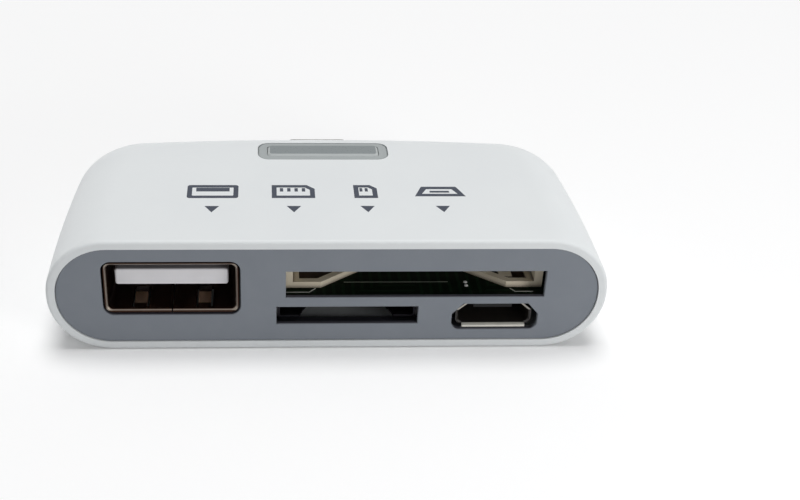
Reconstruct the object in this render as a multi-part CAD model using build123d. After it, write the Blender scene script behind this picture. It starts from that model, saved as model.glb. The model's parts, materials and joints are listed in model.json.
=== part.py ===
from build123d import *
from math import sqrt
import os

# A pocket memory card reader. A white one-piece sleeve with full-round edges holds a circuit board.
# A grey plate with four ports closes its front, and a flat reversible plug stands out of its rear.
# Sizes are in millimetres. While modelling, y = 0 is the front rim and z = 0 is the underside.

# Sleeve
BODY_WIDTH = 55.3  # across the front rim
BODY_THICKNESS = 12.6
BODY_DEPTH = 26.2  # front rim to the middle of the rear edge
EDGE_LAND = 0.3  # flat band between the upper and the lower edge round
COLLAR_DEPTH = 2.0  # the sides run straight this far behind the rim
SIDE_TAPER = 1.45  # behind the collar each side draws in this much
REAR_BOW = 1.6  # the rear edge stands out this much at its middle
FLAT_CORNER_RADIUS = 1.7  # rear corners of the flat top and underside
WALL = 1.3
REAR_WALL = 4.0  # thick, to hold the plug
CAVITY_CORNER = 6.0  # cut across the rear corners of the inside
CAVITY_EASE = 1.5  # bevels above and below the rear end of the inside
RIM_WIDTH = 0.9  # white rim around the front plate
RIM_ROUND = 0.35

# Front plate, its holding lips and their snap beads
PLATE_THICKNESS = 0.45
PLATE_SETBACK = 0.15  # plate face behind the rim
PLATE_GAP = 0.06
PORT_CHAMFER = 0.06
LIP_THICKNESS = 0.6
LIP_DEPTH = 2.2
LIP_GAP = 0.05
LIP_END = 3.5  # each lip stops this far short of the edge round
BEAD_HEIGHT = 0.25
BEAD_BASE = 0.9
BEAD_LENGTH = 7.0
BEAD_SPACING = 20.0
BEAD_GAP = 0.05

# Indicator window in the top
WINDOW_WIDTH = 14.1
WINDOW_LENGTH = 4.0
WINDOW_RADIUS = 1.3
PANE_RADIUS = 0.5  # least corner radius of the outlines nested in the window
WINDOW_FROM_REAR = 7.35  # its middle to the rear edge
BEZEL_THICKNESS = 0.8
BEZEL_SETBACK = 0.05
BEZEL_GAP = 0.05
BEZEL_END = 1.0  # frame width at the left and right ends
BEZEL_BAND = 0.75  # frame width along the front and rear
BEZEL_CHAMFER = 0.12
LENS_PROUD = 0.15
LENS_BEVEL = 0.25
LENS_GAP = 0.06
LENS_LEDGE = 0.5  # width of the wall's ledge under the pane
LENS_DROP = 0.3  # light guide below the wall

# Circuit board and the guides moulded in the sleeve
BOARD_THICKNESS = 1.0
BOARD_DROP = 0.9  # middle of the board below the middle of the body
BOARD_SIDE_GAP = 0.25
BOARD_FRONT_GAP = 0.1
BOARD_REAR_GAP = 0.6
GUIDE_THICKNESS = 0.9
GUIDE_GRIP = 0.8  # how far each guide reaches over the board
GUIDE_GAP = 0.1
GUIDE_FRONT = 4.0

# Middles of the four sockets from the middle of the body, as shares of its width
USB_A_PLACE_RATIO = -0.2794
CARD_PLACE_RATIO = 0.1546
SMALL_PLACE_RATIO = 0.0337
MICRO_PLACE_RATIO = 0.3012

# USB-A socket, sunk in a notch of the board
USB_A_RAISE = 1.73  # its middle above the middle of the board
USB_A_SETBACK = 0.2  # its mouth behind the plate face
USB_A_MOUTH_CHAMFER = 0.15
USB_A_WIDTH = 13.1
USB_A_HEIGHT = 5.72
USB_A_LENGTH = 11.8
USB_A_SHEET = 0.3
USB_A_RADIUS = 0.8
USB_A_SEAM = 0.12
USB_A_HOLE_GAP = 0.2
USB_A_NOTCH_GAP = 0.25
FINGER_SPACING = 6.3
FINGER_WIDTH = 1.25
FINGER_START = 0.5  # from the mouth
FINGER_LENGTH = 3.4
FINGER_CREST = 2.2  # from the root of the finger to its crest
FINGER_RISE = 0.5
FINGER_END_RISE = 0.15
FINGER_SLIT = 0.2
WING_WIDTH = 2.0
WING_REACH = 1.0
WING_Y = 8.5
A_TONGUE_WIDTH = 11.1
A_TONGUE_THICKNESS = 1.84
A_TONGUE_ABOVE = 1.0  # space between tongue and shell
A_TONGUE_SETBACK = 1.0
A_TONGUE_CORNER = 0.3
A_TONGUE_ROUND = 0.2
A_BLOCK_LENGTH = 3.0
A_BLOCK_GAP = 0.05
A_CONTACT_PLACES = (-3.5, -1.0, 1.0, 3.5)
A_CONTACT_WIDTH = 1.0
A_CONTACT_SHEET = 0.2
A_CONTACT_START = 0.9  # behind the tip of the tongue
A_CONTACT_DROP_GAP = 0.1  # behind the shell, before the contact turns down
A_TAIL = 0.6

# Full-size card socket on the top of the board
CARD_WIDTH = 24.0
CARD_THICKNESS = 2.1
CARD_PLAY = 0.1
CARD_FLOOR = 0.7
CARD_RAIL = 0.85
CARD_LIP = 0.45
CARD_LIP_REACH = 0.6
CARD_FRONT = 2.1
CARD_DEPTH = 14.6
CARD_BACK_WALL = 1.0
CARD_ARM = 3.65  # width of each front arm
CARD_NOTCH_DEPTH = 3.0
CARD_NOTCH_RUN = 4.0  # sideways run of the slanted notch ends
CARD_ARM_WALL = 0.65  # walls left around the cored pockets
CARD_POCKET_DEPTH = 0.45
CARD_STUD_WIDTH = 1.3  # block left standing in the right pocket
CARD_STUD_PLACE = 9.4  # its middle from the middle of the card
CARD_STUD_SETBACK = 0.3  # behind the front of the pocket
CARD_PEG_RADIUS = 0.5
CARD_PEG_SPACING = 19.0
CARD_PEG_Y = 6.8
CARD_PEG_GAP = 0.05
CARD_SLOT_BELOW = 0.55  # plate slot beyond the card's lower face
CARD_SLOT_ABOVE = 0.32
CARD_SLOT_PLAY = 0.82
CARD_CONTACT_COUNT = 9
CARD_PITCH = 2.5
CARD_CONTACT_WIDTH = 1.0
CARD_CONTACT_SHEET = 0.2
CARD_CONTACT_REACH = 6.0  # into the socket from its back wall
CARD_CONTACT_RISE = 0.9
CARD_CONTACT_NOSE = 1.0  # from the crest to the tip
CARD_CONTACT_DIP = 0.22
CARD_CONTACT_GAP = 0.2
CARD_TAIL = 0.8
BLADE_HEIGHT = 1.3
BLADE_LENGTH = 5.0
BLADE_SHEET = 0.2
BLADE_FOOT = 0.6
BLADE_PLACES = (5.6, 11.2)

# Small card socket under the board
SMALL_WIDTH = 13.8
SMALL_HEIGHT = 1.85
SMALL_DEPTH = 14.4
SMALL_FRONT = 1.2
SMALL_SHEET = 0.2
SMALL_SLOT_PLAY = 0.15
SMALL_ARCH_WIDTH = 9.4  # finger notch in the front of the cover
SMALL_ARCH_DEPTH = 3.8
SMALL_FOOT = 1.2
SMALL_FOOT_WIDTH = 1.6
SMALL_FOOT_PLACES = (4.6, 12.4)
SMALL_CARD_WIDTH = 11.0
SMALL_CARD_PLAY = 0.1
SMALL_BASE_PLATE = 0.6
SMALL_BASE_GAP = 0.05
SMALL_BASE_SETBACK = 4.4
SMALL_BACK_WALL = 1.0
SMALL_CONTACT_COUNT = 8
SMALL_PITCH = 1.1
SMALL_CONTACT_WIDTH = 0.6
SMALL_CONTACT_SHEET = 0.15
SMALL_CONTACT_REACH = 5.6
SMALL_CONTACT_RISE = 0.9
SMALL_CONTACT_NOSE = 0.9
SMALL_CONTACT_DIP = 0.22
SMALL_CONTACT_GAP = 0.1
SMALL_TAIL = 0.7

# Micro-B socket under the board
MICRO_SETBACK = 0.75  # its mouth behind the plate face
MICRO_MOUTH_CHAMFER = 0.12
MICRO_LIP = 0.45  # flared lower lip in front of the mouth
MICRO_LIP_DROP = 0.08
MICRO_WIDTH = 7.65
MICRO_TOP_WIDTH = 5.5
MICRO_HEIGHT = 2.6
MICRO_SHOULDER = 0.95  # height of the slanted upper corners
MICRO_CORNER = 0.65
MICRO_LENGTH = 5.0
MICRO_SHEET = 0.25
MICRO_HOLE_PLAY = 0.5
MICRO_HOLE_ABOVE = 0.28
MICRO_HOLE_BELOW = 0.16
MICRO_BLOCK_LENGTH = 1.4
MICRO_BLOCK_GAP = 0.04
MICRO_TONGUE_WIDTH = 3.9
MICRO_TONGUE_THICKNESS = 0.6
MICRO_TONGUE_ABOVE = 0.2
MICRO_TONGUE_SETBACK = 0.7
MICRO_CONTACT_COUNT = 5
MICRO_PITCH = 0.65
MICRO_CONTACT_WIDTH = 0.4
MICRO_CONTACT_SHEET = 0.15
MICRO_CONTACT_START = 0.4
MICRO_CONTACT_DROP_GAP = 0.15
MICRO_TAIL = 0.8

# Reversible plug, centred on the board's edge
PLUG_WIDTH = 8.34
PLUG_HEIGHT = 2.56
PLUG_SHEET = 0.25
PLUG_REACH = 7.3  # out of the rear of the body
PLUG_BOARD_GAP = 0.3
PLUG_HOLE_GAP = 0.1
PLUG_TIP_CHAMFER = 0.12
PLUG_CORE_GAP = 0.03
PLUG_CORE_SETBACK = 0.3
PLUG_MOUTH_WIDTH = 6.9
PLUG_MOUTH_HEIGHT = 0.9
PLUG_MOUTH_DEPTH = 5.4
PLUG_PITCH = 0.5
PLUG_PLACES = (-5.5, -2.5, -1.5, -0.5, 0.5, 2.5, 5.5)  # filled places of the upper row, in pitches
PLUG_LOWER_PLACES = (-5.5, -2.5, 1.5, 2.5, 5.5)
PLUG_CONTACT_WIDTH = 0.25
PLUG_CONTACT_SHEET = 0.15
PLUG_CONTACT_GAP = 0.05
PLUG_CONTACT_RUN = 2.4  # straight run in the mouth before the bump
PLUG_CONTACT_BUMP = 0.22
PLUG_CONTACT_DIP = 0.15
PLUG_CONTACT_LEAD = 0.65  # from the bump to the end
PLUG_CONTACT_NOSE = 1.3  # contact end behind the tip
PLUG_TAIL = 1.9
LATCH_HEIGHT = 0.6
LATCH_SHEET = 0.15
LATCH_HOOK = 0.3
LATCH_SLOPE = 0.6
LATCH_NOSE = 1.6  # latch ends in from both ends of the plug
LATCH_GAP = 0.05

# Chips and small parts on the board
CHIP_LENGTH = 9.9
CHIP_WIDTH = 3.9
CHIP_HEIGHT = 1.45
CHIP_STANDOFF = 0.1
CHIP_CHAMFER = 0.2
LEAD_SHEET = 0.2
LEAD_REACH = 1.05
LEAD_SHOULDER = 0.35
LEAD_FOOT = 0.5
CHIP_CLEARANCE = 0.6  # between the card chip and the socket in front of it
HUB_LEAD_COUNT = 14
HUB_PITCH = 0.635
HUB_LEAD_WIDTH = 0.25
READER_LEAD_COUNT = 8
READER_PITCH = 1.27
READER_LEAD_WIDTH = 0.42
CRYSTAL_LENGTH = 5.0
CRYSTAL_WIDTH = 3.2
CRYSTAL_HEIGHT = 1.1
CRYSTAL_LID = 0.3
CRYSTAL_CORNER = 0.4
LED_LENGTH = 1.6
LED_WIDTH = 0.8
LED_BASE = 0.3
LED_HEIGHT = 0.65
LED_LENS_LENGTH = 1.1
LED_INSET = 0.85  # in from the window's left end
PASSIVE_LENGTH = 1.6
PASSIVE_WIDTH = 0.8
CAPACITOR_HEIGHT = 0.8
RESISTOR_HEIGHT = 0.45
PASSIVE_CHAMFER = 0.08
PASSIVE_STEP = 2.5  # between neighbours in a row
PASSIVE_SPACE = 1.0  # between a row and the part beside it
RESISTOR_EDGE = 0.4  # between the resistors and the rear of the board

# Heights and depths that follow from these sizes
OVERRUN = 1.0  # cutting solids run this far past what they cut
MID_Z = BODY_THICKNESS / 2
EDGE_RADIUS = (BODY_THICKNESS - EDGE_LAND) / 2
CORNER_RADIUS = EDGE_RADIUS + FLAT_CORNER_RADIUS
PLATE_BACK = PLATE_SETBACK + PLATE_THICKNESS
CAVITY_REAR = BODY_DEPTH - REAR_WALL
CAVITY_RADIUS = EDGE_RADIUS - WALL
CAVITY_INSET = WALL + SIDE_TAPER / 2  # straight inside, with the full wall as far as its rear corners
WINDOW_Y = BODY_DEPTH - WINDOW_FROM_REAR
TIP_Y = BODY_DEPTH + PLUG_REACH

USB_A_X = USB_A_PLACE_RATIO * BODY_WIDTH
CARD_X = CARD_PLACE_RATIO * BODY_WIDTH
SMALL_X = SMALL_PLACE_RATIO * BODY_WIDTH
MICRO_X = MICRO_PLACE_RATIO * BODY_WIDTH

BOARD_Z = MID_Z - BOARD_DROP
BOARD_TOP = BOARD_Z + BOARD_THICKNESS / 2
BOARD_UNDER = BOARD_Z - BOARD_THICKNESS / 2
BOARD_FRONT = PLATE_BACK + BOARD_FRONT_GAP
BOARD_REAR = CAVITY_REAR - BOARD_REAR_GAP
BOARD_OFF_MIDDLE = max(BOARD_TOP - MID_Z, MID_Z - BOARD_UNDER) - EDGE_LAND / 2
ROUND_LOSS = CAVITY_RADIUS - sqrt(CAVITY_RADIUS**2 - BOARD_OFF_MIDDLE**2)
BOARD_INSET = CAVITY_INSET + ROUND_LOSS + BOARD_SIDE_GAP

USB_A_Z = BOARD_Z + USB_A_RAISE
USB_A_MOUTH = PLATE_SETBACK + USB_A_SETBACK
USB_A_REAR = USB_A_MOUTH + USB_A_LENGTH
USB_A_FLOOR = USB_A_Z - USB_A_HEIGHT / 2 + USB_A_SHEET
USB_A_ROOF = USB_A_Z + USB_A_HEIGHT / 2 - USB_A_SHEET
A_TONGUE_TOP = USB_A_ROOF - A_TONGUE_ABOVE
A_TONGUE_UNDER = A_TONGUE_TOP - A_TONGUE_THICKNESS
A_TONGUE_TIP = USB_A_MOUTH + A_TONGUE_SETBACK
A_DROP_Y = USB_A_REAR + A_CONTACT_DROP_GAP + A_CONTACT_SHEET

CARD_FLOOR_TOP = BOARD_TOP + CARD_FLOOR
CARD_RAIL_TOP = CARD_FLOOR_TOP + CARD_THICKNESS + CARD_PLAY
CARD_INNER = CARD_WIDTH / 2 + CARD_PLAY
CARD_HALF = CARD_INNER + CARD_RAIL
CARD_REAR = CARD_FRONT + CARD_DEPTH
CARD_SPRING_TIP = CARD_REAR - CARD_BACK_WALL - CARD_CONTACT_REACH

SMALL_REAR = SMALL_FRONT + SMALL_DEPTH
SMALL_UNDER = BOARD_UNDER - SMALL_HEIGHT
SMALL_BASE_UNDER = BOARD_UNDER - SMALL_BASE_PLATE
SMALL_SPRING_TIP = SMALL_REAR - SMALL_BACK_WALL - SMALL_CONTACT_REACH

MICRO_UNDER = BOARD_UNDER - MICRO_HEIGHT
MICRO_MOUTH = PLATE_SETBACK + MICRO_SETBACK
MICRO_REAR = MICRO_MOUTH + MICRO_LENGTH
MICRO_TONGUE_TOP = BOARD_UNDER - MICRO_SHEET - MICRO_TONGUE_ABOVE
MICRO_TONGUE_UNDER = MICRO_TONGUE_TOP - MICRO_TONGUE_THICKNESS
MICRO_DROP_Y = MICRO_REAR + MICRO_CONTACT_DROP_GAP

PLUG_REAR = BOARD_REAR + PLUG_BOARD_GAP
PLUG_CONTACT_Z = BOARD_THICKNESS / 2  # contact rows above and below the middle of the board

CHIP_SPAN = CHIP_WIDTH + 2 * LEAD_REACH
HUB_Y = (A_DROP_Y + A_TAIL + BOARD_REAR) / 2  # midway from the USB-A tails to the rear of the board
READER_Y = MICRO_DROP_Y + MICRO_TAIL + CHIP_CLEARANCE + CHIP_LENGTH / 2


def block(x, y, z):
    """Box between the (low, high) pairs x, y and z."""
    pairs = (x, y, z)
    middle = [(low + high) / 2 for low, high in pairs]
    return Pos(*middle) * Box(*[high - low for low, high in pairs])


def around(middle, width):
    """The (low, high) pair of a width centred on middle."""
    return (middle - width / 2, middle + width / 2)


def row(count, pitch):
    """Places of a row of evenly spaced pieces, centred on zero."""
    return [(index - (count - 1) / 2) * pitch for index in range(count)]


def along_y(section, start, end):
    """Extrude a section that is drawn in x and z, from y = start to y = end."""
    return extrude(Plane((0, end, 0), x_dir=(1, 0, 0), z_dir=(0, -1, 0)) * section, end - start)


def strip(path, sheet, width, side=Side.RIGHT, plane=Plane.YZ):
    """Bent sheet-metal strip: a path with the sheet on one side of it, and its width across the plane."""
    outline = offset(Polyline(*path), sheet, side=side, kind=Kind.INTERSECTION)
    return extrude(plane * make_face(outline), width / 2, both=True)


def plan_outline():
    """Plan of the body: a straight collar, sides that draw in, a bowed rear edge and round rear corners."""
    front_half = BODY_WIDTH / 2
    rear_half = front_half - SIDE_TAPER
    corner_y = BODY_DEPTH - REAR_BOW
    # A quarter of the taper at half the length lets each side leave the collar in line with it
    middle = (front_half - SIDE_TAPER / 4, (COLLAR_DEPTH + corner_y) / 2)
    side = ThreePointArc((front_half, COLLAR_DEPTH), middle, (rear_half, corner_y))
    rear = ThreePointArc((rear_half, corner_y), (0, BODY_DEPTH), (-rear_half, corner_y))
    collar = [(-front_half, COLLAR_DEPTH), (-front_half, 0), (front_half, 0), (front_half, COLLAR_DEPTH)]
    outline = make_face([side, rear, mirror(side, Plane.YZ), Polyline(*collar)])
    return fillet(outline.vertices().group_by(Axis.Y)[-1], CORNER_RADIUS)


def rounded_body():
    """The body with its upper and lower edges rounded until they nearly meet, and an eased front rim."""
    slab = extrude(plan_outline(), BODY_THICKNESS)
    edges = slab.faces().filter_by(Axis.Z).edges().filter_by(lambda edge: edge.center().Y > 0)
    body = fillet(edges, EDGE_RADIUS)
    return fillet(body.faces().sort_by(Axis.Y)[0].edges(), RIM_ROUND)


def inside_plan(front, rear, inset):
    """Plan between two depths, drawn in by inset from the full width, with its rear corners cut across."""
    half = BODY_WIDTH / 2 - inset
    right = [(half, front), (half, rear - CAVITY_CORNER), (half - CAVITY_CORNER, rear)]
    left = [(-x, y) for x, y in reversed(right)]
    return make_face(Polyline(*right, *left, close=True))


def cavity():
    """Inside of the sleeve as one core fills it: straight, round at its sides and bevelled at its rear."""
    width = BODY_WIDTH - 2 * CAVITY_INSET
    section = Pos(0, MID_Z) * RectangleRounded(width, BODY_THICKNESS - 2 * WALL, CAVITY_RADIUS)
    core = along_y(section, 0, CAVITY_REAR)
    core &= extrude(inside_plan(0, CAVITY_REAR, CAVITY_INSET), BODY_THICKNESS)
    return chamfer(core.faces().sort_by(Axis.Y)[-1].edges().filter_by(Axis.X), CAVITY_EASE)


def front_section(inset):
    """Outline of the front opening, drawn in by inset from the outside of the rim."""
    width = BODY_WIDTH - 2 * inset
    return Pos(0, MID_Z) * RectangleRounded(width, BODY_THICKNESS - 2 * inset, EDGE_RADIUS - inset)


def window_section(end_inset, band_inset):
    """Rounded outline of the indicator window, drawn in at its ends and along its long sides."""
    width = WINDOW_WIDTH - 2 * end_inset
    length = WINDOW_LENGTH - 2 * band_inset
    radius = max(WINDOW_RADIUS - band_inset, PANE_RADIUS)
    return Pos(0, WINDOW_Y) * RectangleRounded(width, length, radius)


def snap_beads(gap):
    """Two ridges for the upper lip and two for the lower lip, grown by gap to make their grooves."""
    lip_face = WALL + LIP_GAP
    middle = PLATE_BACK + LIP_DEPTH / 2
    half = BEAD_BASE / 2 + gap
    crest = lip_face - BEAD_HEIGHT - gap
    corners = [(middle - half, lip_face), (middle, crest), (middle + half, lip_face)]
    ridge = make_face(Polyline(*corners, close=True))
    bead = extrude(Plane.YZ * ridge, BEAD_LENGTH / 2 + gap, both=True)
    lower = [Pos(x, 0, 0) * bead for x in row(2, BEAD_SPACING)]
    return lower + [mirror(piece, Plane.XY.offset(MID_Z)) for piece in lower]


def board_guides():
    """Ribs along the sides of the sleeve, above and below the edges of the board."""
    inner = BODY_WIDTH / 2 - BOARD_INSET - GUIDE_GRIP
    upper = BOARD_TOP + GUIDE_GAP
    lower = BOARD_UNDER - GUIDE_GAP
    ribs = []
    for z in ((upper, upper + GUIDE_THICKNESS), (lower - GUIDE_THICKNESS, lower)):
        rib = block((inner, BODY_WIDTH / 2), (GUIDE_FRONT, BOARD_REAR), z)
        ribs += [rib, mirror(rib, Plane.YZ)]
    return ribs


def make_housing():
    """One-piece sleeve with a rebate for the plate, board guides, a plug opening and a window seat."""
    shell = rounded_body() - (cavity() - board_guides())
    shell -= along_y(front_section(RIM_WIDTH), -OVERRUN, PLATE_BACK)
    opening = SlotOverall(PLUG_WIDTH + 2 * PLUG_HOLE_GAP, PLUG_HEIGHT + 2 * PLUG_HOLE_GAP)
    shell -= along_y(Pos(0, BOARD_Z) * opening, PLUG_REAR, BODY_DEPTH + OVERRUN)
    seat = BODY_THICKNESS - BEZEL_THICKNESS
    shell -= extrude(Plane.XY.offset(seat) * window_section(0, 0), BEZEL_THICKNESS + OVERRUN)
    through = window_section(BEZEL_END + LENS_LEDGE, BEZEL_BAND + LENS_LEDGE)
    shell -= extrude(Plane.XY.offset(MID_Z) * through, MID_Z)
    return shell - snap_beads(BEAD_GAP)


def micro_outline(side, above, below):
    """Outline of the Micro-B mouth, narrower above, grown by the given amounts."""
    half = MICRO_WIDTH / 2 + side
    top_half = MICRO_TOP_WIDTH / 2 + side
    shoulder = BOARD_UNDER - MICRO_SHOULDER
    top = BOARD_UNDER + above
    under = MICRO_UNDER - below
    right = [(top_half, top), (half, shoulder), (half, under)]
    left = [(-x, z) for x, z in reversed(right)]
    outline = make_face(Polyline(*right, *left, close=True))
    lower = outline.vertices().group_by(Axis.Y)[0]
    return Pos(MICRO_X, 0) * fillet(lower, MICRO_CORNER + below)


def usb_a_outline(grow):
    """Rounded outline of the USB-A shell, grown or drawn in."""
    outline = RectangleRounded(USB_A_WIDTH + 2 * grow, USB_A_HEIGHT + 2 * grow, USB_A_RADIUS + grow)
    return Pos(USB_A_X, USB_A_Z) * outline


def mouth_edges(piece):
    """Edges of the openings in the front face of a piece."""
    face = piece.faces().sort_by(Axis.Y)[0]
    return [edge for wire in face.inner_wires() for edge in wire.edges()]


def make_front_plate():
    """Plate that seats on the step inside the rim, with an upper and a lower lip that snap in the sleeve."""
    plate = along_y(front_section(RIM_WIDTH + PLATE_GAP), PLATE_SETBACK, PLATE_BACK)
    lip_half = BODY_WIDTH / 2 - EDGE_RADIUS - LIP_END
    low = WALL + LIP_GAP
    lip = block((-lip_half, lip_half), (PLATE_BACK, PLATE_BACK + LIP_DEPTH), (low, low + LIP_THICKNESS))
    plate += [lip, mirror(lip, Plane.XY.offset(MID_Z))]
    plate += snap_beads(0)
    card_width = CARD_WIDTH + 2 * CARD_SLOT_PLAY
    card_z = (CARD_FLOOR_TOP - CARD_SLOT_BELOW, CARD_FLOOR_TOP + CARD_THICKNESS + CARD_SLOT_ABOVE)
    small_width = SMALL_WIDTH + 2 * SMALL_SLOT_PLAY
    through = (-OVERRUN, PLATE_BACK + LIP_DEPTH + OVERRUN)
    plate -= block(around(CARD_X, card_width), through, card_z)
    plate -= block(around(SMALL_X, small_width), through, (SMALL_UNDER - SMALL_SLOT_PLAY, BOARD_UNDER))
    plate -= along_y(usb_a_outline(USB_A_HOLE_GAP), *through)
    plate -= along_y(micro_outline(MICRO_HOLE_PLAY, MICRO_HOLE_ABOVE, MICRO_HOLE_BELOW), *through)
    return chamfer(mouth_edges(plate), PORT_CHAMFER)


def make_window_bezel():
    """Frame of the indicator window, let into the top."""
    height = BEZEL_THICKNESS - BEZEL_SETBACK
    base = Plane.XY.offset(BODY_THICKNESS - BEZEL_THICKNESS)
    frame = extrude(base * window_section(BEZEL_GAP, BEZEL_GAP), height)
    frame = chamfer(frame.faces().sort_by(Axis.Z)[-1].edges(), BEZEL_CHAMFER)
    return frame - extrude(base * window_section(BEZEL_END, BEZEL_BAND), height)


def make_window_lens():
    """Bevelled pane that rests on the ledge under the frame, with a light guide through the wall."""
    base = Plane.XY.offset(BODY_THICKNESS - BEZEL_THICKNESS)
    outline = window_section(BEZEL_END + LENS_GAP, BEZEL_BAND + LENS_GAP)
    pane = extrude(base * outline, BEZEL_THICKNESS + LENS_PROUD)
    pane = chamfer(pane.faces().sort_by(Axis.Z)[-1].edges(), LENS_BEVEL)
    inset = LENS_LEDGE + LENS_GAP
    guide = window_section(BEZEL_END + inset, BEZEL_BAND + inset)
    return pane + extrude(base * guide, BEZEL_THICKNESS - WALL - LENS_DROP)


def make_main_board():
    """Board in the shape of the sleeve's inside, with a notch for the USB-A socket and two peg holes."""
    outline = inside_plan(BOARD_FRONT, BOARD_REAR, BOARD_INSET)
    board = extrude(Plane.XY.offset(BOARD_UNDER) * outline, BOARD_THICKNESS)
    notch = around(USB_A_X, USB_A_WIDTH + 2 * USB_A_NOTCH_GAP)
    board -= block(notch, (0, USB_A_REAR + USB_A_NOTCH_GAP), (0, BODY_THICKNESS))
    for x in row(2, CARD_PEG_SPACING):
        hole = Cylinder(CARD_PEG_RADIUS + CARD_PEG_GAP, BODY_THICKNESS)
        board -= Pos(CARD_X + x, CARD_PEG_Y, MID_Z) * hole
    return board


def usb_a_finger():
    """Spring finger that rises from the floor of the shell, and the slit around it."""
    start = USB_A_MOUTH + FINGER_START
    end = start + FINGER_LENGTH
    low = USB_A_FLOOR - USB_A_SHEET
    crest = (start + FINGER_CREST, low + FINGER_RISE)
    path = [(start - USB_A_SHEET, low), (start, low), crest, (end, low + FINGER_END_RISE)]
    finger = strip(path, USB_A_SHEET, FINGER_WIDTH, Side.LEFT)
    slit_x = around(0, FINGER_WIDTH + 2 * FINGER_SLIT)
    slit = block(slit_x, (start, end + FINGER_SLIT), (low - OVERRUN, USB_A_FLOOR + OVERRUN))
    return finger, slit


def make_usb_a_shell():
    """Folded shell with a butt seam in its floor, four spring fingers and two wings on the board."""
    shell = along_y(usb_a_outline(0), USB_A_MOUTH, USB_A_REAR)
    shell -= along_y(usb_a_outline(-USB_A_SHEET), USB_A_MOUTH - OVERRUN, USB_A_REAR + OVERRUN)
    shell = chamfer(mouth_edges(shell), USB_A_MOUTH_CHAMFER)
    finger, slit = usb_a_finger()
    middle = Plane.XY.offset(USB_A_Z)
    for x in row(2, FINGER_SPACING):
        place = Pos(USB_A_X + x, 0, 0)
        shell -= [place * slit, mirror(place * slit, middle)]
        shell += [place * finger, mirror(place * finger, middle)]
    seam_z = (USB_A_FLOOR - USB_A_SHEET - OVERRUN, USB_A_FLOOR + USB_A_SHEET)
    shell -= block(around(USB_A_X, USB_A_SEAM), (0, TIP_Y), seam_z)
    reach = USB_A_WIDTH / 2 + WING_REACH
    wing_y = around(WING_Y, WING_WIDTH)
    wing = block((USB_A_WIDTH / 2 - USB_A_SHEET, reach), wing_y, (BOARD_TOP, BOARD_TOP + USB_A_SHEET))
    return shell + [Pos(USB_A_X, 0, 0) * wing, Pos(USB_A_X, 0, 0) * mirror(wing, Plane.YZ)]


def make_usb_a_insulator():
    """Tongue with rounded edges, and the block that carries it in the rear of the shell."""
    block_y = (USB_A_REAR - A_BLOCK_LENGTH, USB_A_REAR)
    tongue_z = (A_TONGUE_UNDER, A_TONGUE_TOP)
    tongue = block(around(USB_A_X, A_TONGUE_WIDTH), (A_TONGUE_TIP, block_y[0]), tongue_z)
    tongue = fillet(tongue.edges().filter_by(Axis.Y), A_TONGUE_CORNER)
    tongue = fillet(tongue.faces().sort_by(Axis.Y)[0].edges(), A_TONGUE_ROUND)
    body = tongue + along_y(usb_a_outline(-USB_A_SHEET - A_BLOCK_GAP), *block_y)
    tunnel_z = (A_TONGUE_UNDER - A_CONTACT_SHEET - A_BLOCK_GAP, A_TONGUE_UNDER)
    for x in A_CONTACT_PLACES:
        tunnel_x = around(USB_A_X + x, A_CONTACT_WIDTH + 2 * A_BLOCK_GAP)
        body -= block(tunnel_x, (block_y[0] - OVERRUN, USB_A_REAR + OVERRUN), tunnel_z)
    return body


def make_usb_a_contacts():
    """Four contacts under the tongue, turned down behind the shell to tails on the board."""
    foot = BOARD_TOP + A_CONTACT_SHEET
    start = A_TONGUE_TIP + A_CONTACT_START
    path = [(start, A_TONGUE_UNDER), (A_DROP_Y, A_TONGUE_UNDER), (A_DROP_Y, foot), (A_DROP_Y + A_TAIL, foot)]
    contact = strip(path, A_CONTACT_SHEET, A_CONTACT_WIDTH)
    return [Pos(USB_A_X + x, 0, 0) * contact for x in A_CONTACT_PLACES]


def card_arm_pocket():
    """Cored pocket in the right front arm, with the arm's slanted side, drawn about the card's middle."""
    outer = CARD_INNER - CARD_ARM_WALL
    inner = CARD_HALF - CARD_ARM + CARD_ARM_WALL / 2
    front = CARD_FRONT + CARD_ARM_WALL
    rear = CARD_FRONT + CARD_NOTCH_DEPTH
    slant = CARD_NOTCH_RUN * (rear - front) / CARD_NOTCH_DEPTH
    corners = [(outer, front), (outer, rear), (inner - slant, rear), (inner, front)]
    pocket = make_face(Polyline(*corners, close=True))
    return extrude(Plane.XY.offset(CARD_FLOOR_TOP - CARD_POCKET_DEPTH) * pocket, CARD_POCKET_DEPTH + OVERRUN)


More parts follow.
